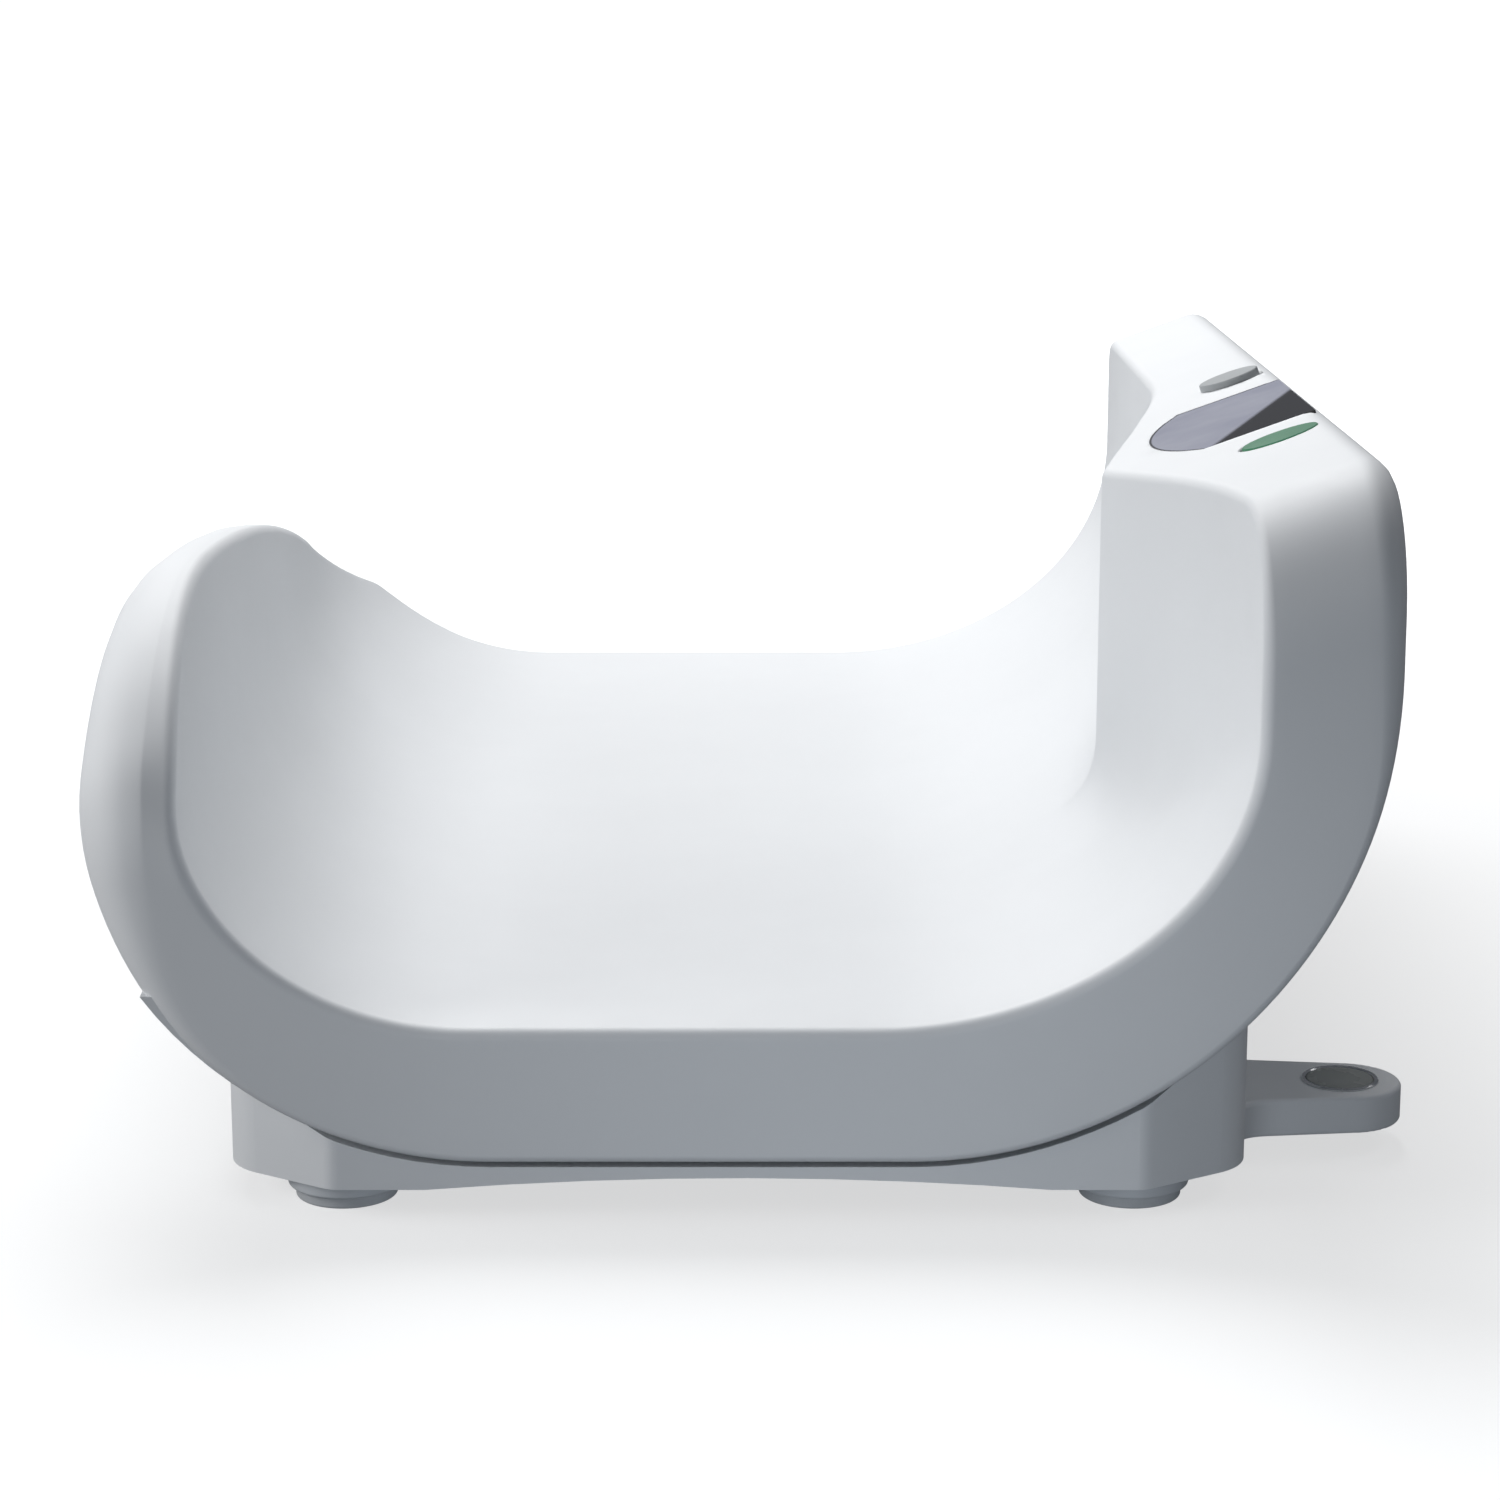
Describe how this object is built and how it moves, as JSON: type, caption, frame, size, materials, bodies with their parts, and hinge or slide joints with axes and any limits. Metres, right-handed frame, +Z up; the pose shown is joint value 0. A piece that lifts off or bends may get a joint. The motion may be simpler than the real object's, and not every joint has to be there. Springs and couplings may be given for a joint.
{
  "type": "baby scale",
  "caption": "Electronic baby scale with a U-shaped open-ended tray, a tilted console with display and two keys, a base with a bubble level and levelling feet.",
  "frame": {"origin": "on the ground under the middle of the bounding box", "axes": "+X to the console side, +Y to the back (the baby lies along Y), +Z up"},
  "size_m": [0.4324, 0.55, 0.2415],
  "materials": {
    "white_shell": "satin white moulded plastic",
    "base_white": "satin pale grey-white moulded plastic",
    "lower_shell": "matt pale grey plastic",
    "window": "clear acrylic with a smoke tint",
    "lcd": "grey-green liquid crystal panel",
    "green_key": "satin green",
    "grey_key": "satin grey",
    "black_plastic": "matt black",
    "board_green": "lacquered circuit board",
    "rubber": "soft grey rubber",
    "foot_plastic": "satin light grey plastic",
    "steel": "zinc-plated steel",
    "aluminium": "milled aluminium",
    "brass": "turned brass",
    "chrome": "polished",
    "level_fluid": "dark green fluid",
    "clear": "clear acrylic",
    "battery_wrap": "printed sleeve, plain"
  },
  "bodies": {
    "scale": {"base_bottom_plate": "base_white", "base_screws": "steel", "base_shell": "base_white", "batteries": "battery_wrap", "battery_contacts": "steel", "battery_holder": "black_plastic", "battery_springs": "steel", "board_screws": "steel", "cable_grommet": "rubber", "contact_strips": "rubber", "display_window": "window", "foot_inserts": "brass", "frame_screws": "steel", "key_switches": "black_plastic", "lcd_holder": "black_plastic", "lcd_panel": "lcd", "level_cup": "black_plastic", "level_lens": "clear", "level_liquid": "level_fluid", "level_ring": "chrome", "load_cell": "aluminium", "load_cell_base_screws": "steel", "load_cell_base_spacer": "steel", "load_cell_tray_screws": "steel", "load_cell_tray_spacer": "steel", "main_board": "board_green", "mode_key_spring": "steel", "overload_stops": "steel", "power_cable": "black_plastic", "power_connector": "black_plastic", "shell_screws": "steel", "signal_cable": "black_plastic", "signal_connector": "black_plastic", "start_key_spring": "steel", "tray_frame": "aluminium", "tray_lower_shell": "lower_shell", "tray_upper_shell": "white_shell", "window_gasket": "rubber"},
    "start_key": {"start_key": "green_key"},
    "mode_key": {"mode_key": "grey_key"},
    "battery_door": {"battery_door": "base_white"},
    "pad_front_left": {"foot_pad_front_left": "rubber"},
    "wheel_front_left": {"foot_wheel_front_left": "foot_plastic", "foot_stud_front_left": "steel"},
    "pad_front_right": {"foot_pad_front_right": "rubber"},
    "wheel_front_right": {"foot_wheel_front_right": "foot_plastic", "foot_stud_front_right": "steel"},
    "pad_rear_left": {"foot_pad_rear_left": "rubber"},
    "wheel_rear_left": {"foot_wheel_rear_left": "foot_plastic", "foot_stud_rear_left": "steel"},
    "pad_rear_right": {"foot_pad_rear_right": "rubber"},
    "wheel_rear_right": {"foot_wheel_rear_right": "foot_plastic", "foot_stud_rear_right": "steel"}
  },
  "joints": [
    {"name": "start_key_press", "type": "slide", "parent": "scale", "child": "start_key", "axis": [0.3384, -0.0408, -0.9401], "range_m": [0, 0.0012], "stiffness_N_per_m": 800, "springref_m": -0.0008, "deforming": ["start_key_spring"]},
    {"name": "mode_key_press", "type": "slide", "parent": "scale", "child": "mode_key", "axis": [0.3384, -0.0408, -0.9401], "range_m": [0, 0.0012], "stiffness_N_per_m": 800, "springref_m": -0.0008, "deforming": ["mode_key_spring"]},
    {"name": "battery_door_slide", "type": "slide", "parent": "scale", "child": "battery_door", "axis": [0, 1, 0], "range_m": [0, 0.012]},
    {"name": "foot_travel_front_left", "type": "slide", "parent": "scale", "child": "pad_front_left", "axis": [0, 0, -1], "range_m": [0, 0.005]},
    {"name": "foot_turn_front_left", "type": "hinge", "parent": "pad_front_left", "child": "wheel_front_left", "pos_m": [-0.1338, -0.25, 0.006], "axis": [0, 0, -1], "range_deg": [0, 1440]},
    {"name": "foot_travel_front_right", "type": "slide", "parent": "scale", "child": "pad_front_right", "axis": [0, 0, -1], "range_m": [0, 0.005]},
    {"name": "foot_turn_front_right", "type": "hinge", "parent": "pad_front_right", "child": "wheel_front_right", "pos_m": [0.1202, -0.25, 0.006], "axis": [0, 0, -1], "range_deg": [0, 1440]},
    {"name": "foot_travel_rear_left", "type": "slide", "parent": "scale", "child": "pad_rear_left", "axis": [0, 0, -1], "range_m": [0, 0.005]},
    {"name": "foot_turn_rear_left", "type": "hinge", "parent": "pad_rear_left", "child": "wheel_rear_left", "pos_m": [-0.1338, 0.25, 0.006], "axis": [0, 0, -1], "range_deg": [0, 1440]},
    {"name": "foot_travel_rear_right", "type": "slide", "parent": "scale", "child": "pad_rear_right", "axis": [0, 0, -1], "range_m": [0, 0.005]},
    {"name": "foot_turn_rear_right", "type": "hinge", "parent": "pad_rear_right", "child": "wheel_rear_right", "pos_m": [0.1202, 0.25, 0.006], "axis": [0, 0, -1], "range_deg": [0, 1440]}
  ],
  "couplings": [
    {"joint": "foot_turn_front_left", "follows": "foot_travel_front_left", "rad_per_m": 5026.5},
    {"joint": "foot_turn_front_right", "follows": "foot_travel_front_right", "rad_per_m": 5026.5},
    {"joint": "foot_turn_rear_left", "follows": "foot_travel_rear_left", "rad_per_m": 5026.5},
    {"joint": "foot_turn_rear_right", "follows": "foot_travel_rear_right", "rad_per_m": 5026.5}
  ]
}
